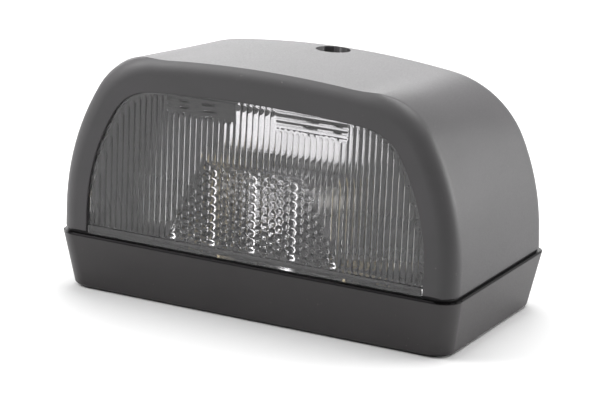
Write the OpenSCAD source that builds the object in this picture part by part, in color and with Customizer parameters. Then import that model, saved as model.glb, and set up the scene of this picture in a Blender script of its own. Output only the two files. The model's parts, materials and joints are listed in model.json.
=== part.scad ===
// Number plate lamp: a tapered base, a hood-shaped cap held by one screw from above,
// a fluted lens behind the cap's front window, and a festoon bulb on contact springs.
// Millimetres, Z up. The origin is the centre of the mounting face under the base,
// and the window looks along -Y.

/* [Base] */
// Length of the base at its rim
base_l = 105; // [98:0.5:116]
// Width of the base at its rim, front to back
base_w = 56.3; // [54:0.1:64]
// Height of the base's rim above the mounting face
base_h = 14.1; // [13.5:0.1:17]
// How far each wall leans in from the rim to the foot
base_lean = 2.2; // [1:0.1:3]
// Radius of the upright corners
base_corner_r = 5; // [4:0.1:8]
// Thickness of the floor
floor_t = 3; // [2.6:0.1:4]
// Bevel round the foot
foot_bevel = 0.8; // [0.3:0.1:1.2]
// Bevel round the rim
rim_bevel = 0.3; // [0.2:0.1:0.9]
// Height of the lip that locates the cap
lip_h = 3; // [2:0.1:4]
// Thickness of the lip
lip_t = 1.2; // [1:0.1:1.6]

/* [Mounting] */
// Distance between the two mounting holes
mount_spacing = 76; // [70:0.5:80]
// Diameter of a mounting hole
mount_hole_d = 5.5; // [4.5:0.1:6.5]
// Diameter of the boss round a mounting hole
mount_boss_d = 11; // [9.5:0.1:13]
// Height of that boss above the floor
mount_boss_h = 3; // [1:0.1:5]

/* [Cable entry] */
// Diameter of the floor hole that the grommet sits in
cable_hole_d = 9; // [8:0.1:11]
// Bore of the grommet
cable_bore_d = 5; // [4:0.1:6]
// Distance of the cable entry in front of the lamp's centre
cable_y = 9; // [7:0.1:11]
// Width of each grommet flange beyond the hole
grommet_flange_w = 2; // [1.5:0.1:3]
// Thickness of each grommet flange
grommet_flange_t = 1.2; // [1:0.1:1.5]

/* [Cap] */
// Setback of the cap's walls from the base's rim
cap_setback = 0.6; // [0.3:0.1:1]
// Height of the gap that shows between base and cap
parting_gap = 0.4; // [0.3:0.1:1]
// Wall thickness of the cap
cap_wall = 2.2; // [1.8:0.1:2.6]
// Height of the front arch above the mounting face
front_arch_h = 61.4; // [58:0.1:68]
// Height of the back arch above the mounting face
back_arch_h = 58.5; // [56:0.1:64]
// Height at which the upright sides start to curve in
side_straight_h = 20; // [18:0.1:23]
// Radius of the sides
side_r = 60; // [54:0.5:70]
// Radius of the front arch's shoulders
front_shoulder_r = 19.5; // [16:0.1:24]
// Radius of the back arch's shoulders
back_shoulder_r = 23; // [18:0.1:26]
// Radius of the front arch's crown
front_crown_r = 290; // [200:1:400]
// Radius of the back arch's crown
back_crown_r = 218; // [160:1:300]
// Radius of the edge round the front face
front_edge_r = 4.5; // [3.5:0.1:5]
// Angle that the front edge turns through at the crown, where the roof cuts it off
front_edge_sweep = 50; // [35:1:75]
// Radius of the edge round the back face
back_edge_r = 5; // [3:0.1:7]
// Forward lean of the back face
back_lean = 8.5; // [4:0.1:12]
// Bevel round the cap's lower edge
cap_bevel = 0.5; // [0.2:0.1:0.8]

/* [Window] */
// Width of the frame beside the window, at its foot
frame_side_w = 7.6; // [7:0.1:10]
// Height of the frame over the window, at the middle
frame_top_h = 8.9; // [8:0.1:12]
// Radius of the window's sides
window_side_r = 50; // [46:0.5:64]
// Radius of the window's upper corners
window_corner_r = 12; // [8:0.1:14]
// Radius of the window's upper edge
window_crown_r = 340; // [200:1:400]

/* [Lens] */
// Depth of the lens pane behind the front face
lens_recess = 0.9; // [0.9:0.1:2.1]
// Thickness of the pane
pane_t = 2.9; // [2.6:0.1:3.2]
// Width of the flange behind the frame
flange_w = 2.6; // [1.8:0.1:2.8]
// Thickness of the flange
flange_t = 1.9; // [1.2:0.1:2]
// Thickness of the seal between flange and frame
lens_seal_t = 0.9; // [0.6:0.1:1.2]
// Height of the plain bar along the lens's foot
lens_bar_h = 2; // [1.5:0.1:3.5]
// How far the plain bar stands in front of the pane
lens_bar_t = 0.5; // [0.3:0.1:0.9]
// Pitch of the flutes
flute_pitch = 1.5; // [1.2:0.1:2.5]
// Height of each flute
flute_h = 0.3; // [0.2:0.05:0.6]
// How far the level flutes and the beads sit right of the lens's middle
optics_shift = -1; // [-1.2:0.1:1]
// Width of each block of level flutes
level_block_w = 18.4; // [12:0.1:20]
// Number of flutes in a block of level flutes
level_flutes = 3; // [2:1:4]
// Distance between the two blocks of level flutes
level_block_gap = 10.4; // [8:0.1:14]
// Distance between columns of beads
bead_column_pitch = 1.77; // [1.75:0.01:2.2]
// Distance between beads in a column
bead_pitch = 2.13; // [2.08:0.01:2.6]
// Width of a bead
bead_d = 2; // [1.6:0.05:2]
// Height of a bead
bead_h = 0.35; // [0.25:0.05:0.5]
// Height of a bead in the bold pairs of columns
bold_bead_h = 0.8; // [0.4:0.05:0.9]
// Number of columns from one bold pair to the next
bold_every = 6; // [5:1:8]
// Width of the bead field along its foot
bead_field_foot_w = 45; // [36:0.1:50]
// Width of the bead field along its top
bead_field_top_w = 26; // [20:0.1:32]
// Height of the bead field
bead_field_h = 19.6; // [14:0.1:22]
// Height of the lowest beads above the field's foot
first_bead_h = 0.4; // [0:0.1:1]

/* [Cap screw] */
// Distance of the screw behind the lamp's centre
screw_y = 12; // [11:0.1:13]
// Diameter of the bore that the screw head sits in
head_bore_d = 8.6; // [8.2:0.1:9]
// Diameter of the screw head
head_d = 7.4; // [6.6:0.1:7.8]
// Height of the screw head
head_h = 2.8; // [2:0.1:3.5]
// Thread size of the screw
screw_d = 4; // [3.5:0.1:4.5]
// Length of the screw under its head
screw_l = 16; // [13:0.5:20]
// Height of the cap boss's foot above the mounting face
boss_seat_h = 36; // [33:0.5:39]
// Thickness of the shelf under the screw head
boss_shelf_t = 3; // [2:0.1:4]
// Wall of the cap boss round the head bore
boss_wall = 1.8; // [1.5:0.1:2.2]
// Thickness of the sealing ring under the head
head_seal_t = 1; // [0.6:0.1:1.5]
// Diameter of the base's screw pillar
pillar_d = 9; // [8:0.1:10]
// Diameter of the threaded insert
insert_d = 6; // [5.5:0.1:6.5]
// Length of the threaded insert
insert_l = 8; // [6:0.5:10]
// Thickness of the ribs behind the pillar and the boss
rib_t = 1.6; // [1.2:0.1:2]

/* [Bulb] */
// Overall length of the festoon bulb
bulb_l = 36; // [31:0.5:41]
// Diameter of the bulb's glass
bulb_d = 10.5; // [8:0.1:11]
// Diameter of the bulb's end caps
bulb_cap_d = 6.8; // [6:0.1:7.4]
// Length of an end cap's cylindrical part
bulb_cap_l = 4.5; // [3.5:0.1:5.5]
// Height of the bulb's axis above the mounting face
bulb_h = 27; // [25:0.1:29]
// Distance of the bulb's axis in front of the lamp's centre
bulb_y = 6; // [5.5:0.1:7]

/* [Bulb carrier] */
// Length of the carrier plate
carrier_l = 70; // [66:0.5:76]
// Width of the carrier plate
carrier_w = 18; // [17:0.1:20]
// Thickness of the carrier plate
carrier_t = 2; // [1.6:0.1:2.6]
// Height of the carrier's underside above the mounting face
carrier_h = 11; // [10:0.1:12]
// Distance between the carrier's two screws
carrier_screw_spacing = 60; // [58:0.5:62]
// Diameter of the posts under the carrier
post_d = 7; // [6:0.1:8]
// Thread size of the carrier screws
carrier_screw_d = 3; // [2.6:0.1:3.4]
// Length of the carrier screws under their heads
carrier_screw_l = 8; // [6:0.5:9]
// Thickness of the contact springs
contact_t = 0.6; // [0.4:0.05:0.8]
// Width of the contact springs
contact_w = 8; // [6.8:0.1:8.4]
// Length of a contact spring's foot
contact_foot_l = 9; // [8.5:0.1:10]
// Width of the blade terminals
blade_w = 6.3; // [4.8:0.1:6.5]
// Diameter of the contact rivets
rivet_d = 3; // [2.5:0.1:3.5]
// Thickness of the reflector sheet
reflector_t = 0.6; // [0.4:0.1:1]
// Length of the reflector's curved part
reflector_l = 31; // [28:0.5:32]
// Focal length of the reflector's curve
reflector_focus = 8.8; // [8.4:0.1:9.2]
// Height of the reflector's upper edge above the bulb's axis
reflector_rise = 18; // [12:0.5:20]

/* [Hidden] */
$fn = 48;

// Small clearances between pieces
fit = 0.1;
loose = 0.3;
// How far a cutter runs past the face it cuts
over = 1;

// Outline of the cap, and the heights where base and cap meet
cap_l = base_l - 2 * cap_setback;
cap_w = base_w - 2 * cap_setback;
cap_foot = base_h + parting_gap;
cap_front = -cap_w / 2;
cap_back = cap_w / 2;

// Lip inside the cap's leaning walls, and the base's rim under both
lip_inset = cap_setback + cap_wall + loose + tan(back_lean) * lip_h;
rim_w = lip_inset + lip_t;

// Seal in the rim's groove, under the cap's wall
seal_groove_d = 0.9;
seal_inset = cap_setback + 0.7;
seal_w = 1.7;

// Arches as [half width, height where the side curves in, side radius, shoulder radius,
// crown radius, crown height]
front_arch = [cap_l / 2, side_straight_h, side_r, front_shoulder_r, front_crown_r, front_arch_h];
back_arch = [cap_l / 2, side_straight_h, side_r, back_shoulder_r, back_crown_r, back_arch_h];
window_half_w = cap_l / 2 - frame_side_w;
window_top = front_arch_h - frame_top_h;
window_arch = [window_half_w, side_straight_h, window_side_r, window_corner_r, window_crown_r, window_top];

// The roof cuts the front edge's round off between these half widths
sweep_inner_x = 24;
sweep_outer_x = 42;

// Layers of the lens, front to back
pane_front = cap_front + lens_recess;
pane_back = pane_front + pane_t;
flange_front = cap_front + cap_wall + lens_seal_t;
flange_back = flange_front + flange_t;
flange_lap = 1.2;
lens_foot = cap_foot;
optics_foot = lens_foot + lens_bar_h;

// Optics
flute_r = (pow(flute_pitch / 2, 2) + pow(flute_h, 2)) / (2 * flute_h);
flute_half_angle = asin(flute_pitch / 2 / flute_r);
level_block_h = level_flutes * flute_pitch;
level_block_top = window_top - 1;

// Screw stack, from the pillar's top up to the head
pillar_top = boss_seat_h;
shelf_top = boss_seat_h + boss_shelf_t;
head_seat = shelf_top + head_seal_t;
boss_d = head_bore_d + 2 * boss_wall;
screw_hole_d = screw_d + 0.6;

// Bulb carrier and what stands on it
carrier_top = carrier_h + carrier_t;
contact_x = bulb_l / 2 - 1.4;
tip_hole_d = 4;
bulb_cap_start = contact_x - bulb_cap_l - 0.8;
bulb_cap_t = 0.5;
// Depth of an end cap's solid tip behind its cylindrical part
bulb_cap_web = bulb_cap_l / 3;
carrier_back = -bulb_y + carrier_w / 2 + 3;
carrier_front = carrier_back - carrier_w;
post_x = carrier_screw_spacing / 2;
post_y = -bulb_y + contact_w / 2 + 4.8;
reflector_vertex = -bulb_y + reflector_focus;
rivet_x = contact_x + contact_t + 4;
blade_x = contact_x + contact_foot_l;
mount_x = mount_spacing / 2;

// Stations round one half of an arch, from its foot to its crown. Each is [centre x,
// centre z, radius, angle]; the upright foot is made of points at angle 0, and the lowest
// point is set in by the bevel.
function shoulder_centre(a) =
    let (side = [a[0] - a[2], a[1]],
         crown = [0, a[5] - a[4]],
         way = crown - side,
         dist = norm(way),
         along = way / dist,
         reach_side = a[2] - a[3],
         reach_crown = a[4] - a[3],
         k = (pow(reach_side, 2) - pow(reach_crown, 2) + pow(dist, 2)) / (2 * dist),
         off = sqrt(max(0, pow(reach_side, 2) - pow(k, 2))))
    side + along * k + off * [-along[1], along[0]];

function half_stations(a, foot, n, bevel) =
    let (side = [a[0] - a[2], a[1]],
         crown = [0, a[5] - a[4]],
         s = shoulder_centre(a),
         a1 = atan2(s[1] - side[1], s[0] - side[0]),
         a2 = atan2(s[1] - crown[1], s[0] - crown[0]))
    concat(
        [[side[0], foot, a[2] - bevel, 0]],
        bevel > 0 ? [[side[0], foot + bevel, a[2], 0]] : [],
        [for (i = [0 : n - 1]) [side[0], side[1], a[2], a1 * i / n]],
        [for (i = [0 : n - 1]) [s[0], s[1], a[3], a1 + (a2 - a1) * i / n]],
        [for (i = [0 : n]) [crown[0], crown[1], a[4], a2 + (90 - a2) * i / n]]);

// Both halves, from the right foot over the crown to the left foot
function stations(a, foot, n, bevel = 0) =
    let (right = half_stations(a, foot, n, bevel), last = len(right) - 1)
    concat(right, [for (i = [1 : last]) let (s = right[last - i]) [-s[0], s[1], s[2], 180 - s[3]]]);

function at_station(s, inset) =
    [s[0] + (s[2] - inset) * cos(s[3]), s[1] + (s[2] - inset) * sin(s[3])];

function arch_outline(a, foot, n, inset) = [for (s = stations(a, foot, n)) at_station(s, inset)];

function ease(t) = let (u = min(1, max(0, t))) u * u * (3 - 2 * u);

// Angle that the front edge turns through at half width x
function edge_sweep(x) =
    front_edge_sweep
    + (90 - front_edge_sweep) * ease((abs(x) - sweep_inner_x) / (sweep_outer_x - sweep_inner_x));

// One ring of the front edge's round, a share t of the way from the face to the roof
function front_ring(t, foot, n) =
    [for (s = stations(front_arch, foot, n, cap_bevel))
        let (turn = t * edge_sweep(at_station(s, 0)[0]),
             p = at_station(s, front_edge_r * (1 - sin(turn))))
        [p[0], cap_front + front_edge_r * (1 - cos(turn)), p[1]]];

// One ring of the back edge's round, turned through this angle from the back face
function back_ring(turn, foot, n) =
    [for (s = stations(back_arch, foot, n, cap_bevel))
        let (p = at_station(s, back_edge_r * (1 - sin(turn))), lean = tan(back_lean) * (p[1] - cap_foot))
        [p[0], cap_back - back_edge_r * (1 - cos(turn)) - lean, p[1]]];

// The same rings for the cavity, a wall's thickness inside
function inner_front_ring(turn, foot, n) =
    let (r = max(0.5, front_edge_r - cap_wall), drop = front_edge_r * (1 - sin(front_edge_sweep)),
         a = [for (i = [0 : 5]) front_arch[i] - (i == 5 ? drop : 0)])
    [for (s = stations(a, foot, n))
        let (p = at_station(s, cap_wall + r * (1 - sin(turn))))
        [p[0], cap_front + cap_wall + r * (1 - cos(turn)), p[1]]];

function inner_back_ring(turn, foot, n) =
    let (r = max(0.5, back_edge_r - cap_wall))
    [for (s = stations(back_arch, foot, n))
        let (p = at_station(s, cap_wall + r * (1 - sin(turn))))
        [p[0], cap_back - cap_wall - r * (1 - cos(turn)) - tan(back_lean) * (p[1] - cap_foot), p[1]]];

// Rings that fill the stretch between two rings in n equal steps
function rings_between(a, b, n) = [for (i = [1 : n - 1]) a + (b - a) * i / n];

// Solid through a list of rings, which all have the same number of points
module loft(rings) {
    m = len(rings[0]);
    k = len(rings);
    polyhedron(
        points = [for (ring = rings) for (p = ring) p],
        faces = concat(
            [[for (j = [m - 1 : -1 : 0]) j]],
            [for (i = [0 : k - 2]) for (j = [0 : m - 1]) for (half = [0, 1])
                let (a = i * m + j, b = i * m + (j + 1) % m)
                half == 0 ? [a, b, b + m] : [a, b + m, a + m]],
            [[for (j = [0 : m - 1]) (k - 1) * m + j]]));
}

module hood_outside() {
    n = 12;
    steps = 6;
    loft(concat(
        [for (i = [0 : steps]) front_ring(i / steps, cap_foot, n)],
        rings_between(front_ring(1, cap_foot, n), back_ring(90, cap_foot, n), 4),
        [for (i = [steps : -1 : 0]) back_ring(90 * i / steps, cap_foot, n)]));
}

module hood_inside() {
    n = 10;
    steps = 3;
    foot = cap_foot - over;
    loft(concat(
        [for (i = [0 : steps]) inner_front_ring(90 * i / steps, foot, n)],
        rings_between(inner_front_ring(90, foot, n), inner_back_ring(90, foot, n), 3),
        [for (i = [steps : -1 : 0]) inner_back_ring(90 * i / steps, foot, n)]));
}

// Plate with rounded corners, as a 2D outline
module rounded_rect(l, w, r) {
    square([l - 2 * r, w], center = true);
    square([l, w - 2 * r], center = true);
    for (x = [-1, 1], y = [-1, 1]) translate([x * (l / 2 - r), y * (w / 2 - r)]) circle(r);
}

// Block whose four walls flare out by the same amount over its height
module tapered_block(l, w, h, flare) {
    reach = max(l, w) + 2 * abs(flare) + over;
    intersection() {
        rotate([90, 0, 0]) translate([0, 0, -reach / 2]) linear_extrude(reach)
            polygon([[-l / 2, 0], [l / 2, 0], [l / 2 + flare, h], [-l / 2 - flare, h]]);
        rotate([90, 0, 90]) translate([0, 0, -reach / 2]) linear_extrude(reach)
            polygon([[-w / 2, 0], [w / 2, 0], [w / 2 + flare, h], [-w / 2 - flare, h]]);
    }
}

// The same with rounded corners, which keep their radius all the way up and lean out with
// the walls
module flared_block(l, w, h, r, flare) {
    tapered_block(l - 2 * r, w, h, flare);
    tapered_block(l, w - 2 * r, h, flare);
    for (i = [-1, 1], j = [-1, 1]) translate([i * (l / 2 - r), j * (w / 2 - r), 0])
        multmatrix([[1, 0, i * flare / h, 0], [0, 1, j * flare / h, 0], [0, 0, 1, 0]])
            cylinder(h, r = r);
}

// An outline drawn in X and Z, made solid from y0 back to y1
module slab(y0, y1) {
    translate([0, y1, 0]) rotate([90, 0, 0]) linear_extrude(y1 - y0) children();
}

module window_outline(grow, foot) {
    half = window_half_w + grow + over;
    intersection() {
        polygon(arch_outline(window_arch, cap_foot - 2 * over, 8, -grow));
        translate([-half, foot]) square([2 * half, window_top + grow + over - foot]);
    }
}

module base() {
    foot_l = base_l - 2 * base_lean;
    foot_w = base_w - 2 * base_lean;
    color("#3a383a") difference() {
        union() {
            flared_block(foot_l - 2 * foot_bevel, foot_w - 2 * foot_bevel, foot_bevel,
                         base_corner_r, foot_bevel);
            translate([0, 0, foot_bevel])
                flared_block(foot_l, foot_w, base_h - foot_bevel - rim_bevel, base_corner_r, base_lean);
            translate([0, 0, base_h - rim_bevel])
                flared_block(base_l, base_w, rim_bevel, base_corner_r, -rim_bevel);
            lip();
        }
        difference() {
            translate([0, 0, floor_t]) linear_extrude(base_h + lip_h)
                rounded_rect(base_l - 2 * rim_w, base_w - 2 * rim_w, base_corner_r / 2);
            base_fittings();
        }
        seal_groove();
        base_holes();
    }
}

// Lip inside the cap's walls, left out across the front for the lens
module lip() {
    translate([0, 0, floor_t]) difference() {
        linear_extrude(base_h + lip_h - floor_t)
            rounded_rect(base_l - 2 * lip_inset, base_w - 2 * lip_inset, base_corner_r / 2);
        front = flange_back + loose;
        half = window_half_w + flange_w + loose;
        translate([-half, -base_w / 2, base_h - floor_t]) cube([2 * half, front + base_w / 2, lip_h + over]);
    }
}

// Everything that stands on the floor inside the base
module base_fittings() {
    translate([0, screw_y, 0]) cylinder(pillar_top, d = pillar_d);
    translate([-rib_t / 2, screw_y, 0]) cube([rib_t, base_w / 2 - screw_y, base_h]);
    for (side = [-1, 1]) {
        translate([side * mount_x, 0, 0]) cylinder(floor_t + mount_boss_h, d = mount_boss_d);
        translate([side * post_x, post_y, 0]) cylinder(carrier_h, d = post_d);
        translate([side * post_x - rib_t / 2, post_y, 0]) cube([rib_t, base_w / 2 - post_y, carrier_h - 3]);
    }
}

module seal_groove() {
    translate([0, 0, base_h - seal_groove_d]) linear_extrude(seal_groove_d + over) difference() {
        seal_outline(seal_inset - fit);
        seal_outline(seal_inset + seal_w + fit);
    }
}

module seal_outline(inset) {
    rounded_rect(base_l - 2 * inset, base_w - 2 * inset, base_corner_r - inset);
}

module base_holes() {
    for (side = [-1, 1]) {
        translate([side * mount_x, 0, -over])
            cylinder(floor_t + mount_boss_h + 2 * over, d = mount_hole_d);
        translate([side * post_x, post_y, floor_t]) cylinder(carrier_h, d = carrier_screw_d - 0.5);
    }
    translate([0, -cable_y, -over]) cylinder(floor_t + 2 * over, d = cable_hole_d);
    translate([0, -cable_y, -over])
        cylinder(grommet_flange_t + over, d = cable_hole_d + 2 * grommet_flange_w + loose);
    translate([0, screw_y, pillar_top - insert_l]) cylinder(insert_l + over, d = insert_d);
    translate([0, screw_y, head_seat - screw_l - over]) cylinder(screw_l, d = screw_hole_d);
}

module cap() {
    color("#8f8b8d") difference() {
        hood_outside();
        difference() {
            hood_inside();
            translate([0, screw_y, boss_seat_h]) cylinder(front_arch_h, d = boss_d);
            translate([-rib_t / 2, screw_y, boss_seat_h]) cube([rib_t, cap_w, front_arch_h]);
        }
        slab(cap_front - over, cap_front + cap_wall + over) window_outline(0, cap_foot - over);
        for (side = [-1, 1]) translate([0, side * cap_w / 2, cap_foot]) rotate([45, 0, 0])
            cube([cap_l, cap_bevel * sqrt(2), cap_bevel * sqrt(2)], center = true);
        translate([0, screw_y, shelf_top]) cylinder(front_arch_h, d = head_bore_d);
        translate([0, screw_y, boss_seat_h - over]) cylinder(front_arch_h, d = screw_hole_d);
    }
}

module lens() {
    color("#c9ced2", 0.5) union() {
        slab(pane_front, pane_back) window_outline(-fit, lens_foot);
        slab(flange_front, flange_back) difference() {
            window_outline(flange_w, lens_foot);
            window_outline(-flange_lap, optics_foot);
        }
        translate([-(window_half_w - fit), pane_front - lens_bar_t, lens_foot])
            cube([2 * (window_half_w - fit), lens_bar_t + pane_t / 2, lens_bar_h]);
        upright_flutes();
        for (side = [-1, 1]) level_flute_block(side);
        beads();
    }
}

// Scalloped edge of n flutes, starting at the origin and running along X
function flute_edge(n) =
    let (steps = 5)
    [for (i = [0 : n - 1]) for (k = [0 : steps - 1])
        let (turn = flute_half_angle * (2 * k / steps - 1))
        [(i + 0.5) * flute_pitch + flute_r * sin(turn), flute_r * (cos(turn) - 1) + flute_h]];

module flute_profile(n) {
    root = -pane_t / 2;
    polygon(concat([[0, root]], flute_edge(n), [[n * flute_pitch, 0], [n * flute_pitch, root]]));
}

module optics_area() {
    window_outline(-flange_lap - fit, optics_foot);
}

module upright_flutes() {
    n = 2 * floor(window_half_w / flute_pitch);
    difference() {
        intersection() {
            translate([-n * flute_pitch / 2, pane_back, optics_foot])
                linear_extrude(window_top - optics_foot) flute_profile(n);
            slab(pane_back - pane_t, flange_back) optics_area();
        }
        for (side = [-1, 1]) slab(pane_back, flange_back) level_block_area(side);
        slab(pane_back, flange_back) bead_area();
    }
}

// Middle of the left block, for -1, or the right block, for 1
function level_block_x(side) = optics_shift + side * (level_block_gap + level_block_w) / 2;

module level_block_area(side) {
    translate([level_block_x(side), level_block_top - level_block_h / 2])
        square([level_block_w, level_block_h], center = true);
}

module level_flute_block(side) {
    intersection() {
        translate([level_block_x(side) - level_block_w / 2, pane_back, level_block_top])
            rotate([0, 90, 0]) linear_extrude(level_block_w) flute_profile(level_flutes);
        slab(pane_back - pane_t, flange_back) optics_area();
    }
}

module bead_area() {
    foot = bead_field_foot_w / 2;
    top = bead_field_top_w / 2;
    translate([optics_shift, optics_foot])
        polygon([[-foot, 0], [foot, 0], [top, bead_field_h], [-top, bead_field_h]]);
}

// Dome on the pane's back, on a short stub sunk into it
module bead(h) {
    r = (pow(bead_d / 2, 2) + pow(h, 2)) / (2 * h);
    rotate([-90, 0, 0]) intersection() {
        translate([0, 0, h - r]) sphere(r);
        translate([0, 0, -fit]) cylinder(h + 2 * fit, d = bead_d);
    }
}

// Columns of beads, every second one half a step higher, inside the field's slanted sides.
// Each pair of bold columns stands further out.
module beads() {
    columns = ceil(bead_field_foot_w / 2 / bead_column_pitch);
    rows = floor(bead_field_h / bead_pitch);
    for (c = [-columns : columns], r = [0 : rows]) {
        x = c * bead_column_pitch;
        z = first_bead_h + (r + (abs(c) % 2) / 2) * bead_pitch;
        half = (bead_field_foot_w + (bead_field_top_w - bead_field_foot_w) * z / bead_field_h) / 2;
        place = (c % bold_every + bold_every) % bold_every;
        if (abs(x) < half && z < bead_field_h - bead_d / 2)
            translate([optics_shift + x, pane_back, optics_foot + z])
                bead(place == 0 || place == bold_every - 1 ? bold_bead_h : bead_h);
    }
}

module lens_seal() {
    color("#1c1c1d") slab(cap_front + cap_wall, flange_front) difference() {
        window_outline(flange_w, lens_foot);
        window_outline(fit, lens_foot - over);
    }
}

module cap_seal() {
    color("#1c1c1d") translate([0, 0, base_h - seal_groove_d])
        linear_extrude(seal_groove_d + parting_gap) difference() {
            seal_outline(seal_inset);
            seal_outline(seal_inset + seal_w);
        }
}

module cap_screw() {
    slot_w = 1.2;
    color("#9a9c9f") translate([0, screw_y, head_seat]) difference() {
        union() {
            cylinder(head_h, d = head_d);
            translate([0, 0, -screw_l]) cylinder(screw_l, d = screw_d);
        }
        translate([-head_d / 2 - over, -slot_w / 2, head_h - slot_w])
            cube([head_d + 2 * over, slot_w, slot_w + over]);
    }
}

module screw_seal() {
    color("#1c1c1d") translate([0, screw_y, shelf_top]) difference() {
        cylinder(head_seal_t, d = head_d);
        translate([0, 0, -over]) cylinder(head_seal_t + 2 * over, d = screw_d + fit);
    }
}

module screw_insert() {
    color("#b59a4c") translate([0, screw_y, pillar_top - insert_l]) difference() {
        cylinder(insert_l, d = insert_d);
        translate([0, 0, -over]) cylinder(insert_l + 2 * over, d = screw_d + fit);
    }
}

// Distance back of the reflector's front surface at height z
function reflector_y(z) = reflector_vertex - pow(z - bulb_h, 2) / (4 * reflector_focus);

// Curved sheet that stands on a flat strip, which the carrier screws hold
module reflector() {
    n = 20;
    low = carrier_top + 2.8;
    high = bulb_h + reflector_rise;
    front = [for (i = [0 : n]) let (z = low + (high - low) * i / n) [reflector_y(z), z]];
    y = reflector_y(low);
    strip_back = carrier_back - 0.5;
    strip_l = carrier_l - 2;
    color("#c4c6c8") difference() {
        union() {
            rotate([90, 0, 90]) translate([0, 0, -reflector_l / 2]) linear_extrude(reflector_l)
                polygon(concat(
                    [[strip_back, carrier_top], [y, carrier_top]],
                    front,
                    [for (i = [n : -1 : 0]) front[i] + [reflector_t, 0]],
                    [[y + reflector_t, carrier_top + reflector_t], [strip_back, carrier_top + reflector_t]]));
            translate([-strip_l / 2, y + reflector_t, carrier_top])
                cube([strip_l, strip_back - y - reflector_t, reflector_t]);
        }
        for (side = [-1, 1]) translate([side * post_x, post_y, carrier_top - over])
            cylinder(reflector_t + 2 * over, d = carrier_screw_d + 0.4);
    }
}

module bulb_carrier() {
    slot_w = blade_w + 0.6;
    slot_l = contact_t + 0.8;
    color("#343335") difference() {
        translate([0, (carrier_front + carrier_back) / 2, carrier_h]) linear_extrude(carrier_t)
            rounded_rect(carrier_l, carrier_w, 3);
        for (side = [-1, 1]) {
            translate([side * post_x, post_y, carrier_h - over])
                cylinder(carrier_t + 2 * over, d = carrier_screw_d + 0.4);
            translate([side * rivet_x, -bulb_y, carrier_h - over])
                cylinder(carrier_t + 2 * over, d = rivet_d);
            translate([side * (blade_x - contact_t / 2) - slot_l / 2, -bulb_y - slot_w / 2, carrier_h - over])
                cube([slot_l, slot_w, carrier_t + 2 * over]);
        }
    }
}

module carrier_screws() {
    slot_w = carrier_screw_d / 4;
    color("#9a9c9f") for (side = [-1, 1]) translate([side * post_x, post_y, carrier_top + reflector_t])
        difference() {
            union() {
                cylinder(carrier_screw_d * 0.6, d = carrier_screw_d * 1.8);
                translate([0, 0, -carrier_screw_l]) cylinder(carrier_screw_l, d = carrier_screw_d - 0.5);
            }
            translate([-carrier_screw_d * 2, -slot_w / 2, carrier_screw_d / 3])
                cube([carrier_screw_d * 4, slot_w, over]);
        }
}

// Folded strip: an upright leaf that grips the bulb's tip, a foot on the carrier and a
// blade terminal that hangs through the carrier's slot
module contact() {
    leaf_top = bulb_h + bulb_cap_d / 2 + 1;
    flare = 2;
    profile = [[contact_x, carrier_top], [contact_x, leaf_top], [contact_x + flare, leaf_top + 3],
               [contact_x + flare + contact_t, leaf_top + 3], [contact_x + contact_t, leaf_top],
               [contact_x + contact_t, carrier_top + contact_t], [blade_x, carrier_top + contact_t],
               [blade_x, carrier_top]];
    difference() {
        translate([0, -bulb_y + contact_w / 2, 0]) rotate([90, 0, 0]) linear_extrude(contact_w)
            polygon(profile);
        translate([contact_x - over, -bulb_y, bulb_h]) rotate([0, 90, 0])
            cylinder(contact_t + 2 * over, d = tip_hole_d);
        translate([rivet_x, -bulb_y, carrier_top - over]) cylinder(contact_t + 2 * over, d = rivet_d);
    }
    blade_end = floor_t + contact_t * 2.5;
    translate([blade_x - contact_t, -bulb_y - blade_w / 2, blade_end])
        cube([contact_t, blade_w, carrier_top + contact_t - blade_end]);
}

module contact_right() {
    color("#c8b070") contact();
}

module contact_left() {
    color("#c8b070") mirror([1, 0, 0]) contact();
}

module contact_rivets() {
    head_t = rivet_d * 0.27;
    rivet_head_d = rivet_d * 5 / 3;
    stack = carrier_t + contact_t;
    color("#b59a4c") for (side = [-1, 1]) translate([side * rivet_x, -bulb_y, carrier_h]) {
        cylinder(stack, d = rivet_d);
        translate([0, 0, stack]) cylinder(head_t, d = rivet_head_d);
        translate([0, 0, -head_t]) cylinder(head_t, d = rivet_head_d);
    }
}

// Places a turned profile's axis along the bulb
module on_bulb_axis() {
    translate([0, -bulb_y, bulb_h]) rotate([0, 90, 0]) children();
}

// Half profile of the glass, as [radius, place along the axis], for a wall this far inside:
// the shoulder, and the straight neck inside the end cap
function glass_profile(inset) =
    let (neck = bulb_cap_d / 2 - bulb_cap_t - fit)
    concat(
        [for (i = [0 : 6])
            let (t = i / 6)
            [bulb_d / 2 - inset - (bulb_d / 2 - neck) * ease(t), bulb_cap_start - fit - 4 * (1 - t)]],
        [[neck - inset, bulb_cap_start + bulb_cap_web]]);

module bulb_glass() {
    wall = 0.5;
    outer = glass_profile(0);
    inner = glass_profile(wall);
    n = len(outer) - 1;
    color("#dfe4e6", 0.5) on_bulb_axis() rotate_extrude() polygon(concat(
        outer,
        [for (i = [n : -1 : 0]) inner[i]],
        [for (i = [0 : n]) [inner[i][0], -inner[i][1]]],
        [for (i = [n : -1 : 0]) [outer[i][0], -outer[i][1]]]));
}

// End cap: a cup over the glass's neck, drawn to a blunt cone
module bulb_cap() {
    r = bulb_cap_d / 2;
    bore = r - bulb_cap_t;
    end = bulb_cap_start + bulb_cap_l;
    color("#b9b7ae") on_bulb_axis() rotate_extrude() polygon([
        [bore, bulb_cap_start], [r, bulb_cap_start], [r, end], [tip_hole_d / 2 - fit, contact_x],
        [0.9, bulb_l / 2], [0, bulb_l / 2], [0, end - bulb_cap_web], [bore, end - bulb_cap_web]]);
}

module bulb_cap_right() {
    bulb_cap();
}

module bulb_cap_left() {
    mirror([1, 0, 0]) bulb_cap();
}

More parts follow.
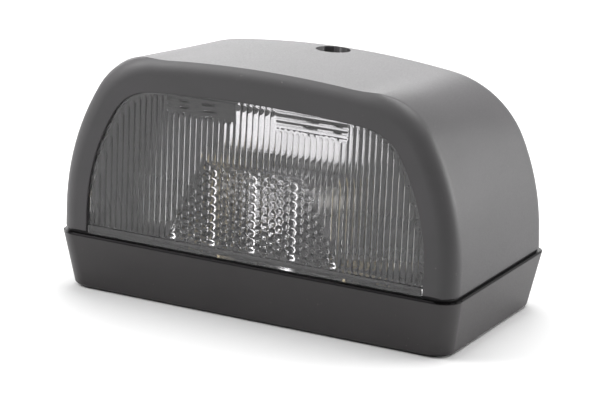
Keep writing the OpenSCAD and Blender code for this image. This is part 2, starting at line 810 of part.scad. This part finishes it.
// Coil and the two lead wires that carry it
module filament() {
    coil_l = bulb_l / 4;
    coil_r = bulb_d / 20;
    wire_r = bulb_d / 40;
    lead_end = bulb_cap_start + bulb_cap_l - bulb_cap_web;
    color("#8a8c90") on_bulb_axis() {
        translate([0, 0, -coil_l / 2]) cylinder(coil_l, r = coil_r);
        for (side = [-1, 1])
            translate([0, 0, side > 0 ? coil_l / 2 : -lead_end]) cylinder(lead_end - coil_l / 2, r = wire_r);
    }
}

module cable_grommet() {
    flange_r = cable_hole_d / 2 + grommet_flange_w;
    waist_r = cable_hole_d / 2 - fit;
    top = floor_t + grommet_flange_t;
    color("#1c1c1d") translate([0, -cable_y, 0]) rotate_extrude() polygon([
        [cable_bore_d / 2, 0], [flange_r, 0], [flange_r, grommet_flange_t], [waist_r, grommet_flange_t],
        [waist_r, floor_t], [flange_r, floor_t], [waist_r, top + 1], [cable_bore_d / 2, top + 1]]);
}

base();
cap();
lens();
lens_seal();
cap_seal();
cap_screw();
screw_seal();
screw_insert();
reflector();
bulb_carrier();
carrier_screws();
contact_left();
contact_right();
contact_rivets();
bulb_glass();
bulb_cap_left();
bulb_cap_right();
filament();
cable_grommet();
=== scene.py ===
import json
import math

import bpy
from mathutils import Matrix, Vector

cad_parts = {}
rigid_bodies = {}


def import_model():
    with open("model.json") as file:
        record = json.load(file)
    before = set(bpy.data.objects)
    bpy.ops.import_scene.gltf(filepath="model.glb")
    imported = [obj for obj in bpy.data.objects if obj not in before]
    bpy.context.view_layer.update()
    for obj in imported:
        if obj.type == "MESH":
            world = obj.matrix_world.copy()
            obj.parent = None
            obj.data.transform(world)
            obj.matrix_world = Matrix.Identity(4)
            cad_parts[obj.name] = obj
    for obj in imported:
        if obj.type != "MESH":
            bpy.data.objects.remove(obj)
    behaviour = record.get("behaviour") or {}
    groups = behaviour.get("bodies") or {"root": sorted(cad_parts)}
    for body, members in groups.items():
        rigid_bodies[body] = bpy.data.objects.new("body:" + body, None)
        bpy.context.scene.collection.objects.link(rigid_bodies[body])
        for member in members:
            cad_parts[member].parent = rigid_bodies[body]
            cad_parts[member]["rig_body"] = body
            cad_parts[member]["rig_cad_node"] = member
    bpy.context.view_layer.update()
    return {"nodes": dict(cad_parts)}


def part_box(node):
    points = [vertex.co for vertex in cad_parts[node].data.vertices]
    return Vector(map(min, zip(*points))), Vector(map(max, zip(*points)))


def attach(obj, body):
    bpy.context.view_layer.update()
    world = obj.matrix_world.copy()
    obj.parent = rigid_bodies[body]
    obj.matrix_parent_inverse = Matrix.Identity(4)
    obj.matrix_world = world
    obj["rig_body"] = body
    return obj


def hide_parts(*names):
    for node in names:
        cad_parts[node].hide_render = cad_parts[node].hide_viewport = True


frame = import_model()
nodes = frame["nodes"]
mm = 0.001
print("loaded", len(nodes), "nodes")

# Camera, at the picture's angle

cameraLook = {"azimuth": 26.62, "elevation": 15.6, "roll": 2.46, "distance": 644.61 * mm,
              "target": Vector((-1.2, 0, 23.48)) * mm, "focal": 160.7, "sensor": 36, "clip": (0.01, 50)}


def placeCamera(look):
    turn, lift, roll = (math.radians(look[k]) for k in ("azimuth", "elevation", "roll"))
    back = Vector((math.sin(turn) * math.cos(lift), -math.cos(turn) * math.cos(lift), math.sin(lift)))
    right = Vector((math.cos(turn), math.sin(turn), 0))
    up = back.cross(right)
    across = math.cos(roll) * right + math.sin(roll) * up
    upright = -math.sin(roll) * right + math.cos(roll) * up
    bpy.ops.object.camera_add()
    camera = bpy.context.object
    camera.name = "pictureCamera"
    camera.matrix_world = Matrix((
        (across.x, upright.x, back.x, 0), (across.y, upright.y, back.y, 0),
        (across.z, upright.z, back.z, 0), (0, 0, 0, 1)))
    camera.location = look["target"] + back * look["distance"]
    camera.data.lens = look["focal"]
    camera.data.sensor_width = look["sensor"]
    camera.data.clip_start, camera.data.clip_end = look["clip"]
    bpy.context.scene.camera = camera


placeCamera(cameraLook)
print("camera placed")

# Small helpers for modelling

mergeWithin = 0.002 * mm
normalWeight = 80


def deselectAll():
    if bpy.context.object and bpy.context.object.mode != "OBJECT":
        bpy.ops.object.mode_set(mode="OBJECT")
    bpy.ops.object.select_all(action="DESELECT")


def pick(piece):
    deselectAll()
    piece.select_set(True)
    bpy.context.view_layer.objects.active = piece


# The second value at a first one, on the straight lines through the points
def readBetween(points, x):
    for (x0, y0), (x1, y1) in zip(points, points[1:]):
        if x <= x1:
            return y0 + (y1 - y0) * (x - x0) / max(x1 - x0, 1e-6)
    return points[-1][1]


# A merged copy of a CAD node, to be shaped further; the node itself stays as it is
def copyOf(nodeName, newName, flatter=0.4):
    pick(nodes[nodeName])
    bpy.ops.object.duplicate()
    piece = bpy.context.object
    piece.name = piece.data.name = newName
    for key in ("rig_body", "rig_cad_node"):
        if key in piece:
            del piece[key]
    piece.parent = None
    piece.data.materials.clear()
    bpy.ops.object.mode_set(mode="EDIT")
    bpy.ops.mesh.select_all(action="SELECT")
    bpy.ops.mesh.remove_doubles(threshold=mergeWithin)
    bpy.ops.mesh.dissolve_limited(angle_limit=math.radians(flatter))
    bpy.ops.object.mode_set(mode="OBJECT")
    return piece


# Selects the sharp edges whose middle passes the test, and leaves the piece in edit mode
def selectSharp(piece, sharper, test):
    pick(piece)
    bpy.ops.object.mode_set(mode="EDIT")
    bpy.ops.mesh.select_mode(type="EDGE")
    bpy.ops.mesh.select_all(action="DESELECT")
    bpy.ops.mesh.edges_select_sharp(sharpness=math.radians(sharper))
    bpy.ops.object.mode_set(mode="OBJECT")
    verts = piece.data.vertices
    for edge in piece.data.edges:
        if edge.select:
            middle = (verts[edge.vertices[0]].co + verts[edge.vertices[1]].co) / 2
            edge.select = test(middle / mm)
    bpy.ops.object.mode_set(mode="EDIT")


def roundEdges(piece, sharper, width, segments, test):
    selectSharp(piece, sharper, test)
    bpy.ops.mesh.bevel(offset=width, segments=segments, profile=0.5, clamp_overlap=True)
    bpy.ops.object.mode_set(mode="OBJECT")


def finishPiece(piece, angle, replaced, material):
    pick(piece)
    bpy.ops.object.shade_smooth_by_angle(angle=math.radians(angle))
    weigh = piece.modifiers.new("weighNormals", "WEIGHTED_NORMAL")
    weigh.keep_sharp = True
    weigh.weight = normalWeight
    bpy.ops.object.modifier_apply(modifier=weigh.name)
    piece.data.materials.clear()
    piece.data.materials.append(material)
    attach(piece, "root")
    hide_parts(*replaced)


# Shader kit


class Signal:  # a node output that the usual operators work on
    def __init__(self, kit, socket):
        self.kit = kit
        self.socket = socket

    def combine(self, operation, first, second):
        return self.kit.add("ShaderNodeMath", {"operation": operation}, {0: first, 1: second})

    def __add__(self, other):
        return self.combine("ADD", self, other)

    def __rsub__(self, other):
        return self.combine("SUBTRACT", other, self)

    def __mul__(self, other):
        return self.combine("MULTIPLY", self, other)

    def most(self, other):
        return self.combine("MAXIMUM", self, other)


class NodeKit:  # one node tree
    def __init__(self, tree):
        self.tree = tree

    def add(self, kind, settings=None, sockets=None, out=0):
        node = self.tree.nodes.new(kind)
        for key, value in (settings or {}).items():
            setattr(node, key, value)
        for key, value in (sockets or {}).items():
            self.plug(node.inputs[key], value)
        return Signal(self, node.outputs[out])

    def plug(self, socket, value):
        if isinstance(value, Signal):
            self.tree.links.new(value.socket, socket)
        else:
            socket.default_value = value

    def range(self, value, fromLow, fromHigh, toLow, toHigh):
        return self.add("ShaderNodeMapRange", {}, {
            "Value": value, "From Min": fromLow, "From Max": fromHigh, "To Min": toLow, "To Max": toHigh})

    def seen(self):  # 1 on camera, glossy and transmission rays, 0 on the rays that carry light
        rays = [self.add("ShaderNodeLightPath", out=out)
                for out in ("Is Camera Ray", "Is Glossy Ray", "Is Transmission Ray")]
        return rays[0].most(rays[1]).most(rays[2])


class Finish(NodeKit):  # one node material
    def __init__(self, name):
        self.material = bpy.data.materials.new(name)
        self.material.use_nodes = True
        super().__init__(self.material.node_tree)
        self.shader = self.tree.nodes["Principled BSDF"]

    def place(self):
        return self.add("ShaderNodeTexCoord", out="Object")

    def along(self, axis):
        return self.add("ShaderNodeSeparateXYZ", {}, {"Vector": self.place()}, out=axis)

    def noise(self, scale, detail=3.0, rough=0.5, place=None):
        return self.add("ShaderNodeTexNoise", {}, {
            "Vector": place or self.place(), "Scale": scale, "Detail": detail, "Roughness": rough})

    def stretched(self, x, y, z):
        return self.add("ShaderNodeMapping", {}, {"Vector": self.place(), "Scale": (x, y, z)})

    def blend(self, factor, dark, light):
        return self.add("ShaderNodeMix", {"data_type": "RGBA"}, {0: factor, 6: dark, 7: light}, out=2)

    def bump(self, height, distance, strength):
        return self.add("ShaderNodeBump", {}, {"Height": height, "Distance": distance, "Strength": strength})

    def set(self, **values):
        for key, value in values.items():
            self.plug(self.shader.inputs[key.replace("_", " ")], value)
        return self.material


# 0 to 255 screen values to the shader's linear colour
def shade(r, g, b):
    return tuple(((c / 255 + 0.055) / 1.055) ** 2.4 for c in (r, g, b)) + (1,)


# What all the finishes of one kind share
plasticMarks = {"drift": 45, "flow": (30, 30, 160), "flowShare": 0.5, "tone": (0.5, 1.0), "specks": 1300,
                "speckSpan": (0.73, 0.8), "speckRough": 0.3, "seamShadeMetal": 0.9, "grainSpan": (0.3, 0.7),
                "roughSpread": 0.06, "ior": 1.5}
clearMarks = {"smear": 90, "smearSpan": (0.35, 0.75), "smearRough": 2.5, "ripple": 400, "rippleStrength": 0.3}
metalMarks = {"stain": 120, "stainSpan": (0.3, 0.75), "brushSpan": (0.25, 0.75), "brushHeight": 0.02 * mm,
              "smoother": 0.06, "rougher": 0.1, "spotFade": 0.3 * mm, "paintedShadeRough": 0.35}


# Moulded plastic with a fine etched grain, a slow drift in tone and a little pale dust, and painted shade in the
# joint where the look gives a seam
def mouldedPlastic(name, look):
    f, marks = Finish(name), plasticMarks
    grain = f.noise(look["grainScale"], detail=4, rough=0.6)
    drift = f.noise(marks["drift"], detail=2)
    flow = f.noise(1, detail=2, place=f.stretched(*marks["flow"]))
    dust = f.range(f.noise(marks["specks"], detail=2), *marks["speckSpan"], 0, look["dust"])
    tone = f.range(drift + flow * marks["flowShare"], *marks["tone"], 0, 1)
    body = f.blend(tone, shade(*look["dark"]), shade(*look["light"]))
    if "seam" in look:  # painted shade: the joint under the cap is painted dark and made metallic so that it shows no highlight, and no dust
        paintedSeamShade = f.range(f.along("Z"), *look["seam"], 0, 1)
        body = f.blend(paintedSeamShade, body, shade(*look["paintedSeamShade"]))
        dust = dust * (1 - paintedSeamShade)
        f.set(Metallic=paintedSeamShade * marks["seamShadeMetal"])
    low, high = look["rough"] - marks["roughSpread"], look["rough"] + marks["roughSpread"]
    return f.set(
        Base_Color=f.blend(dust, body, shade(*look["dustColour"])),
        Roughness=f.range(grain, *marks["grainSpan"], low, high) + dust * marks["speckRough"],
        Normal=f.bump(grain, look["grainHeight"], look["grainStrength"]),
        IOR=marks["ior"])


def clearPlastic(name, look):
    f, marks = Finish(name), clearMarks
    smear = f.noise(marks["smear"], rough=0.6)
    ripple = f.noise(marks["ripple"], detail=2)
    return f.set(
        Base_Color=shade(*look["colour"]),
        Roughness=f.range(smear, *marks["smearSpan"], look["rough"], look["rough"] * marks["smearRough"]),
        Normal=f.bump(ripple, look["rippleHeight"], marks["rippleStrength"]),
        IOR=look["ior"],
        Transmission_Weight=1.0)


def sheetMetal(name, look):
    f, marks = Finish(name), metalMarks
    brushed = f.noise(1, rough=0.6, place=f.stretched(*look["brush"]))
    stain = f.noise(marks["stain"], rough=0.55)
    colour = f.blend(f.range(stain, *marks["stainSpan"], 0, 1), shade(*look["light"]), shade(*look["dark"]))
    rough = f.range(brushed, *marks["brushSpan"], look["rough"] - marks["smoother"], look["rough"] + marks["rougher"])
    if "paintedShadeBelow" in look:  # painted shade low down, dark and rougher, but for one painted glint, a bright spot given by its sides and its foot
        x, z = f.along("X"), f.along("Z")
        left, right, foot = look["paintedGlint"]
        below = f.range(z, look["paintedShadeBelow"] + mm, look["paintedShadeBelow"] - mm, 0, 1)
        between = f.range(x, left - mm, left + mm, 0, 1) * f.range(x, right + mm, right - mm, 0, 1)
        spot = between * f.range(z, foot, foot + marks["spotFade"], 0, 1)
        paintedShade = below * (1 - spot)
        colour = f.blend(paintedShade, colour, shade(*look["paintedShade"]))
        rough = rough + paintedShade * marks["paintedShadeRough"]
    return f.set(
        Base_Color=colour,
        Metallic=look["metal"],
        Roughness=rough,
        Normal=f.bump(brushed, marks["brushHeight"], look["bump"]))


def softRubber(name, look):
    f = Finish(name)
    grain = f.noise(look["grainScale"], rough=0.55)
    bloom = f.noise(look["bloom"])
    return f.set(
        Base_Color=f.blend(f.range(bloom, *look["bloomSpan"], 0, 1), shade(*look["dark"]), shade(*look["light"])),
        Roughness=f.range(grain, *look["grainSpan"], *look["rough"]),
        Normal=f.bump(grain, look["grainHeight"], look["grainStrength"]))


# Finishes

capPlasticLook = {"dark": (70, 69, 70), "light": (78, 76, 78), "rough": 0.46, "grainScale": 2800,
                  "grainHeight": 0.04 * mm, "grainStrength": 0.7, "dust": 0.35, "dustColour": (150, 146, 142)}
basePlasticLook = {"dark": (50, 47, 48), "light": (58, 55, 56), "rough": 0.42, "grainScale": 3600,
                   "grainHeight": 0.02 * mm, "grainStrength": 0.45, "dust": 0.45, "dustColour": (132, 128, 122),
                   # The seam band is painted shade: a near-black, highlight-free strip on the rim top under the cap
                   "seam": (13.45 * mm, 13.7 * mm), "paintedSeamShade": (16, 15, 16)}
carrierLook = {"dark": (52, 51, 52), "light": (60, 58, 60), "rough": 0.5, "grainScale": 2600,
               "grainHeight": 0.02 * mm, "grainStrength": 0.3, "dust": 0.1, "dustColour": (110, 108, 104)}
lensClearLook = {"colour": (250, 249, 250), "rough": 0.02, "rippleHeight": 0.004 * mm, "ior": 1.49}
bulbGlassLook = {"colour": (250, 250, 250), "rough": 0.005, "rippleHeight": 0.002 * mm, "ior": 1.47}
steelLook = {"light": (190, 190, 192), "dark": (150, 150, 154), "metal": 1, "rough": 0.3, "brush": (900, 900, 90),
             "bump": 0.3}
# The reflector is painted dark as shade below a height, and one spot there is left bright as a painted glint
reflectorLook = {"light": (232, 232, 233), "dark": (214, 214, 215), "metal": 1, "rough": 0.14,
                 "brush": (40, 900, 900), "bump": 0.2, "paintedShadeBelow": 26 * mm, "paintedShade": (70, 69, 70),
                 "paintedGlint": (-13 * mm, -3 * mm, 14.6 * mm)}
brassLook = {"light": (170, 158, 128), "dark": (140, 129, 101), "metal": 1, "rough": 0.28, "brush": (500, 500, 500),
             "bump": 0.2}
tinLook = {"light": (158, 156, 152), "dark": (126, 124, 120), "metal": 1, "rough": 0.42, "brush": (120, 900, 900),
           "bump": 0.25}
tungstenLook = {"light": (120, 120, 124), "dark": (90, 90, 94), "metal": 1, "rough": 0.35, "brush": (900, 900, 900),
                "bump": 0.2}
rubberLook = {"dark": (22, 22, 23), "light": (32, 31, 32), "rough": (0.6, 0.8), "grainScale": 2600,
              "grainSpan": (0.3, 0.7), "grainHeight": 0.02 * mm, "grainStrength": 0.4, "bloom": 200,
              "bloomSpan": (0.35, 0.7)}

capPlastic = mouldedPlastic("capPlastic", capPlasticLook)
basePlastic = mouldedPlastic("basePlastic", basePlasticLook)
carrierPlastic = mouldedPlastic("carrierPlastic", carrierLook)
clearLens = clearPlastic("clearLens", lensClearLook)
bulbGlass = clearPlastic("bulbGlass", bulbGlassLook)
platedSteel = sheetMetal("platedSteel", steelLook)
reflectorSheet = sheetMetal("reflectorSheet", reflectorLook)
brass = sheetMetal("contactBrass", brassLook)
tinnedCap = sheetMetal("tinnedCap", tinLook)
tungsten = sheetMetal("tungsten", tungstenLook)
rubber = softRubber("sealRubber", rubberLook)
print("finishes made")

# Cap: the moulded hood, with its edges broken as the mould leaves them

capLook = {"flatter": 0.15, "smooth": 25,
           "windowEdge": 0.25 * mm, "windowSteps": 5, "windowSharp": 60, "windowFront": -27.3, "windowFoot": 14.8,
           "windowTop": 54, "windowHalf": 46,
           "roofUp": 0.9, "roofAbove": 50, "roofHalf": 14, "holeReach": 4.8,
           "creaseSharp": 20, "creaseSpan": (-27, -25), "creaseAbove": 55}


# The window's outer edge
def onWindowRim(p):
    return (p.y < capLook["windowFront"] and capLook["windowFoot"] < p.z < capLook["windowTop"]
            and abs(p.x) < capLook["windowHalf"])


# The line where the front's rounding is cut off by the roof
def onRoofCrease(p):
    front, back = capLook["creaseSpan"]
    return front < p.y < back and p.z > capLook["creaseAbove"]


# The roof's own curve gives the normals at the screw hole's rim, so that it leaves no streaks in the shading
def smoothRoundHole(piece, look):
    low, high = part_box("cap_screw")
    hole = (low + high) / 2 / mm
    mesh = piece.data
    normals = [corner.vector.copy() for corner in mesh.corner_normals]
    rim, free = [], []
    for face in mesh.polygons:
        if face.normal.z < look["roofUp"]:
            continue
        for i in face.loop_indices:
            spot = mesh.vertices[mesh.loops[i].vertex_index].co / mm
            if spot.z < look["roofAbove"] or abs(spot.x) > look["roofHalf"]:
                continue
            away = math.hypot(spot.x - hole.x, spot.y - hole.y)
            (rim if away < look["holeReach"] else free).append((i, spot.x, face.normal.y / face.normal.z))
    lean = sum(normals[i].x * x for i, x, slope in free) / sum(x * x for i, x, slope in free)
    back = min(slope for i, x, slope in rim)  # the roof proper, not the rounding behind the hole
    for i, x, slope in rim:
        normals[i] = Vector((lean * x, back, 1)).normalized()
    mesh.normals_split_custom_set(normals)
    print("hole rim smoothed at", len(rim), "corners")


cap = copyOf("cap", "capShell", capLook["flatter"])
roundEdges(cap, capLook["windowSharp"], capLook["windowEdge"], capLook["windowSteps"], onWindowRim)
selectSharp(cap, capLook["creaseSharp"], onRoofCrease)
bpy.ops.mesh.mark_sharp()
bpy.ops.object.mode_set(mode="OBJECT")
print("crease marked on", sum(edge.use_edge_sharp for edge in cap.data.edges), "edges")
finishPiece(cap, capLook["smooth"], ["cap"], capPlastic)
smoothRoundHole(cap, capLook)
print("cap made")

# Base: the tapered tray under it

baseLook = {"smooth": 32}

base = copyOf("base", "baseTray")
finishPiece(base, baseLook["smooth"], ["base"], basePlastic)
print("base made")

# Lens: one clear moulding, smooth outside, with flutes, level flutes and beads on its back

lensLook = {
    "halfWidth": 44.2, "foot": 14.5, "sideStart": 20, "sideRadius": 49.9, "cornerRadius": 11.9, "crownRadius": 339.9,
    "top": 52.4, "front": -26.65, "back": -23.75, "barFront": -27.15, "barTop": 16.5,
    "pitch": 1.5, "shift": -1, "fluteHeight": 0.21, "levelHeight": 0.25, "perFlute": 8, "rows": 124,
    "endInset": 1.3, "leftInset": 0.5, "rightInset": 1.9, "footInset": 0.2, "sideGap": 0.1, "arcSteps": 60,
    "mergeWithin": 0.0005 * mm,
    "blockInner": 5.2, "blockOuter": 23.6, "blockTop": 51.5, "blockFlutes": 3,
    "beadColumn": 1.77, "beadPitch": 2.13, "firstBead": 0.4, "beadRadius": 1.0, "beadHeight": 0.35,
    "boldHeight": 0.62, "boldLeft": 0.42, "boldEvery": 6, "fieldFoot": 22.5, "fieldTop": 13.0, "fieldHeight": 19.6,
    "smooth": 42}


# The window's upper edge, from side, corner and crown arcs, as points of place across and height
def windowEdge(look):
    side = Vector((look["halfWidth"] - look["sideRadius"], look["sideStart"]))
    crown = Vector((0, look["top"] - look["crownRadius"]))
    way = crown - side
    reach = look["sideRadius"] - look["cornerRadius"]
    reachCrown = look["crownRadius"] - look["cornerRadius"]
    k = (reach ** 2 - reachCrown ** 2 + way.length_squared) / (2 * way.length)
    along = way.normalized()
    shoulder = side + along * k + math.sqrt(reach ** 2 - k ** 2) * Vector((-along.y, along.x))
    firstTurn = math.atan2(shoulder.y - side.y, shoulder.x - side.x)
    secondTurn = math.atan2(shoulder.y - crown.y, shoulder.x - crown.x)
    arcs = [(side, look["sideRadius"], 0, firstTurn), (shoulder, look["cornerRadius"], firstTurn, secondTurn),
            (crown, look["crownRadius"], secondTurn, math.pi / 2)]
    steps = look["arcSteps"]
    points = []
    for centre, radius, start, end in arcs:
        for i in range(steps + 1):
            turn = start + (end - start) * i / steps
            points.append((centre.x + radius * math.cos(turn), centre.y + radius * math.sin(turn)))
    return sorted(points)


def domeHeight(distance, halfWidth, height):
    radius = (halfWidth ** 2 + height ** 2) / (2 * height)
    return max(0.0, math.sqrt(max(0.0, radius ** 2 - distance ** 2)) - radius + height)


# How far up the bead field a height lies, and half the field's width there
def fieldAt(look, z):
    share = (z - look["barTop"]) / look["fieldHeight"]
    return share, look["fieldFoot"] + (look["fieldTop"] - look["fieldFoot"]) * share


def inField(look, x, z):
    share, half = fieldAt(look, z)
    return 0 <= share <= 1 and abs(x - look["shift"]) < half


def blockFootOf(look):
    return look["blockTop"] - look["blockFlutes"] * look["pitch"]


# Domes in staggered columns, with a bold pair of columns at every sixth
def beadHeight(look, x, z):
    best = 0.0
    x -= look["shift"]
    near = round(x / look["beadColumn"])
    for c in (near - 1, near, near + 1):
        lowest = look["barTop"] + look["firstBead"] + (abs(c) % 2) / 2 * look["beadPitch"]
        r = round((z - lowest) / look["beadPitch"])
        cx, cz = c * look["beadColumn"], lowest + r * look["beadPitch"]
        half = fieldAt(look, cz)[1]
        if r < 0 or abs(cx) >= half or cz - look["barTop"] >= look["fieldHeight"] - look["beadRadius"]:
            continue
        bold = {0: look["boldHeight"], look["boldEvery"] - 1: look["boldLeft"]}
        height = bold.get(c % look["boldEvery"], look["beadHeight"])
        best = max(best, domeHeight(math.hypot(x - cx, z - cz), look["beadRadius"], height))
    return best


# Upright flutes with rounded ends, stopped short of the window's edge, the blocks and the bead field
def fluteHeight(look, edge, x, z):
    half = look["pitch"] / 2
    centre = (math.floor(x / look["pitch"]) + 0.5) * look["pitch"]
    inset = look["rightInset"] if centre > 0 else look["leftInset"]
    top = readBetween(edge, abs(centre) + inset) - look["endInset"]
    blockFoot = blockFootOf(look)
    if look["blockInner"] < abs(centre - look["shift"]) < look["blockOuter"]:
        top = blockFoot - half
    foot = look["barTop"] + look["footInset"]
    if inField(look, centre, foot):
        share = (look["fieldFoot"] - abs(centre - look["shift"])) / (look["fieldFoot"] - look["fieldTop"])
        foot = look["barTop"] + look["fieldHeight"] * min(1.0, share) + half
    beyond = max(0.0, z - top, foot - z)
    return domeHeight(math.hypot(x - centre, beyond), half, look["fluteHeight"])


def backHeight(look, edge, x, z):
    if inField(look, x, z):
        return beadHeight(look, x, z)
    blockFoot = blockFootOf(look)
    if look["blockInner"] < abs(x - look["shift"]) < look["blockOuter"] and z > blockFoot:
        if z > look["blockTop"]:
            return 0.0
        return domeHeight((z - blockFoot) % look["pitch"] - look["pitch"] / 2, look["pitch"] / 2, look["levelHeight"])
    return fluteHeight(look, edge, x, z)


# A grid is wrapped round the moulding's section, column by column across the window, and closed
def makeLens(look):
    edge = windowEdge(look)
    step = look["pitch"] / look["perFlute"]
    half = look["halfWidth"] - look["sideGap"]
    count = int(half / step)
    across = [-half] + [i * step for i in range(-count, count + 1)] + [half]
    rows = look["rows"]
    deselectAll()
    bpy.ops.mesh.primitive_grid_add(x_subdivisions=len(across) - 1, y_subdivisions=rows + 4, size=0.1)
    piece = bpy.context.object
    piece.name = piece.data.name = "lensPane"
    verts = piece.data.vertices
    n = len(across)
    for k, x in enumerate(across):
        top = readBetween(edge, abs(x))
        barTop = min(look["barTop"], top)
        for j in range(rows + 1):
            z = look["foot"] + (top - look["foot"]) * j / rows
            rise = backHeight(look, edge, x, z) if abs(x) < half else 0.0
            verts[j * n + k].co = Vector((x, look["back"] + rise, z)) * mm
        section = [(look["front"], top), (look["front"], barTop),
                   (look["barFront"], barTop), (look["barFront"], look["foot"])]
        for j, (y, z) in enumerate(section):
            verts[(rows + 1 + j) * n + k].co = Vector((x, y, z)) * mm
    pick(piece)
    bpy.ops.object.mode_set(mode="EDIT")
    bpy.ops.mesh.select_mode(type="EDGE")
    bpy.ops.mesh.select_all(action="DESELECT")
    bpy.ops.object.mode_set(mode="OBJECT")
    last = (rows + 4) * n
    for e in piece.data.edges:
        a, b = sorted(e.vertices)
        e.select = (b < n) or (a >= last)
    bpy.ops.object.mode_set(mode="EDIT")
    bpy.ops.mesh.bridge_edge_loops()
    bpy.ops.mesh.select_all(action="SELECT")
    bpy.ops.mesh.remove_doubles(threshold=look["mergeWithin"])
    bpy.ops.mesh.select_all(action="DESELECT")
    bpy.ops.mesh.select_non_manifold(extend=False, use_wire=False, use_multi_face=False, use_non_contiguous=False,
                                     use_verts=False)
    bpy.ops.mesh.edge_face_add()
    bpy.ops.mesh.select_all(action="SELECT")
    bpy.ops.mesh.normals_make_consistent(inside=False)
    bpy.ops.object.mode_set(mode="OBJECT")
    return piece


lens = makeLens(lensLook)
finishPiece(lens, lensLook["smooth"], ["lens"], clearLens)
print("lens made,", len(lens.data.polygons), "faces")

# Bulb, with a wound filament

envelopeLook = {"smooth": 50}
cupLook = {"smooth": 40}
coilLook = {"turns": 22, "perTurn": 10, "length": 9 * mm, "radius": 0.45 * mm, "wire": 0.09 * mm, "wireSides": 2,
            "smooth": 60}

envelope = copyOf("bulb_glass", "bulbEnvelope")
finishPiece(envelope, envelopeLook["smooth"], ["bulb_glass"], bulbGlass)

for side in ("left", "right"):
    cup = copyOf("bulb_cap_" + side, "bulbCup" + side.capitalize())
    finishPiece(cup, cupLook["smooth"], ["bulb_cap_" + side], tinnedCap)


def woundFilament(look):
    low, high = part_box("filament")
    centre = (low + high) / 2
    curve = bpy.data.curves.new("filamentCoil", "CURVE")
    curve.dimensions = "3D"
    curve.bevel_depth = look["wire"]
    curve.bevel_resolution = look["wireSides"]
    curve.use_fill_caps = True
    steps = look["turns"] * look["perTurn"]
    spline = curve.splines.new("POLY")
    spline.points.add(steps)
    for i in range(steps + 1):
        turn = 2 * math.pi * i / look["perTurn"]
        x = centre.x + look["length"] * (i / steps - 0.5)
        y = centre.y + look["radius"] * math.cos(turn)
        z = centre.z + look["radius"] * math.sin(turn)
        spline.points[i].co = (x, y, z, 1)
    for side in (-1, 1):
        lead = curve.splines.new("POLY")
        lead.points.add(1)
        end = high.x if side > 0 else low.x
        lead.points[0].co = (centre.x + side * look["length"] / 2, centre.y + look["radius"], centre.z, 1)
        lead.points[1].co = (end, centre.y, centre.z, 1)
    piece = bpy.data.objects.new("filamentCoil", curve)
    bpy.context.scene.collection.objects.link(piece)
    pick(piece)
    bpy.ops.object.convert(target="MESH")
    return bpy.context.object


coil = woundFilament(coilLook)
finishPiece(coil, coilLook["smooth"], ["filament"], tungsten)
print("bulb made")

# Reflector: the sheet steps forward above the bulb, so that its upper part throws the daylight back out
# "foot" to "focus" describe the CAD's curve, and "front" gives the new one as points of height and depth
reflectorShape = {"foot": 15.8, "axis": 27, "vertex": 2.79, "focus": 8.8, "smooth": 30,
                  "front": [(15.8, -0.77), (20, 1.4), (25.5, 2.6), (29.5, 0.7), (34, -3.2), (36, -3.8), (45, -5.4)]}

reflector = copyOf("reflector", "reflectorPlate")
for vert in reflector.data.vertices:
    z = vert.co.z / mm
    if z > reflectorShape["foot"]:
        before = reflectorShape["vertex"] - (z - reflectorShape["axis"]) ** 2 / (4 * reflectorShape["focus"])
        vert.co.y += (readBetween(reflectorShape["front"], z) - before) * mm
finishPiece(reflector, reflectorShape["smooth"], ["reflector"], reflectorSheet)
print("reflector made")

# The other CAD nodes keep their shape and get their finish

nodeFinish = {"lens_seal": rubber, "cap_seal": rubber, "screw_seal": rubber, "cable_grommet": rubber,
              "cap_screw": platedSteel, "carrier_screws": platedSteel, "screw_insert": brass,
              "contact_left": brass, "contact_right": brass, "contact_rivets": brass,
              "bulb_carrier": carrierPlastic}

for name, material in nodeFinish.items():
    for slot in nodes[name].material_slots:
        slot.material = material
print("nodes finished")

# Studio: pale floor, soft lamps, white surroundings

studioLook = {"floorSize": 12, "floorDrop": 0.05 * mm, "floorColour": (253, 253, 253),
              "floorBounce": (135, 135, 135), "floorRough": 0.9, "surround": 0.18,
              "aim": Vector((0, 0, 0.03))}
lampLooks = [
    {"name": "topSoftbox", "at": (0.05, 0.3, 1.0), "size": (1.0, 0.7), "power": 11.0},
    {"name": "backPanel", "at": (-0.8, 1.15, 0.42), "size": (1.1, 0.75), "power": 5.5},
    {"name": "rightSoftbox", "at": (0.95, 0.75, 0.25), "size": (0.6, 0.5), "power": 7.0},
    {"name": "frontSoftbox", "at": (-0.8, -0.4, 0.9), "size": (0.6, 0.6), "power": 9.0},
    {"name": "leftFill", "at": (-1.1, -0.9, 0.5), "size": (0.6, 0.6), "power": 2.5},
]


def makeFloor(look):
    bpy.ops.mesh.primitive_plane_add(size=look["floorSize"], location=(0, 0, -look["floorDrop"]))
    floor = bpy.context.object
    floor.name = "studioFloor"
    f = Finish("floorPaint")
    f.set(
        Base_Color=f.blend(f.seen(), shade(*look["floorBounce"]), shade(*look["floorColour"])),
        Roughness=look["floorRough"])
    floor.data.materials.append(f.material)


def makeLamps(looks, aim):
    for look in looks:
        bpy.ops.object.light_add(type="AREA", location=look["at"])
        lamp = bpy.context.object
        lamp.name = look["name"]
        lamp.data.shape = "RECTANGLE"
        lamp.data.size, lamp.data.size_y = look["size"]
        lamp.data.energy = look["power"]
        lamp.rotation_euler = (aim - lamp.location).to_track_quat("-Z", "Y").to_euler()


def makeSurroundings(look):
    world = bpy.data.worlds.new("studioSurround")
    bpy.context.scene.world = world
    world.use_nodes = True
    kit = NodeKit(world.node_tree)
    back = kit.tree.nodes["Background"]
    kit.plug(back.inputs["Color"], (1, 1, 1, 1))
    kit.plug(back.inputs["Strength"], kit.range(kit.seen(), 0, 1, look["surround"], 1))


makeFloor(studioLook)
makeLamps(lampLooks, studioLook["aim"])
makeSurroundings(studioLook)
bpy.context.scene.view_settings.view_transform = "Standard"
print("studio lit")
